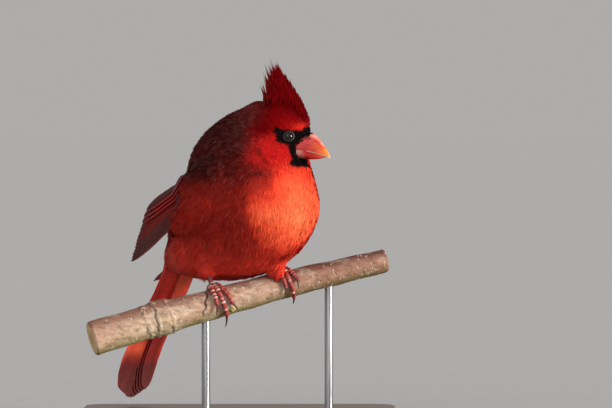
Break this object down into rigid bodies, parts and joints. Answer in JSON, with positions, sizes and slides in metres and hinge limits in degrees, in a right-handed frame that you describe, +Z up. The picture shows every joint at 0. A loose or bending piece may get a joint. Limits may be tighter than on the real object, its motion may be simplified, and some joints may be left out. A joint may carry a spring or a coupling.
{
  "type": "perched bird model",
  "caption": "Still, life-size model of a northern cardinal gripping a cut branch that a plain display stand holds up.",
  "frame": {"origin": "middle of the stand base's underside, on the surface that the model stands on", "axes": "+Z up; +X to the right as the picture sees the bird, along the branch; +Y away from the viewer"},
  "size_m": [0.186, 0.136, 0.211],
  "materials": {
    "plumage": "soft red body feathers",
    "flight_feathers": "dull maroon wing and tail feathers",
    "bill": "smooth coral horn",
    "eyes": "wet dark brown",
    "feet": "scaled skin with pale scale edges",
    "branch": "weathered bark",
    "rods": "satin",
    "base": "oiled dark wood"
  },
  "bodies": {
    "root": {"head": "plumage", "neck": "plumage", "torso": "plumage", "leg_left": "plumage", "leg_right": "plumage", "tail": "flight_feathers", "wing_left": "flight_feathers", "wing_right": "flight_feathers", "bill_upper": "bill", "bill_lower": "bill", "eye_left": "eyes", "eye_right": "eyes", "foot_left": "feet", "foot_right": "feet", "stand_perch": "branch", "stand_rod_1": "rods", "stand_rod_2": "rods", "stand_base": "base"}
  },
  "joints": []
}
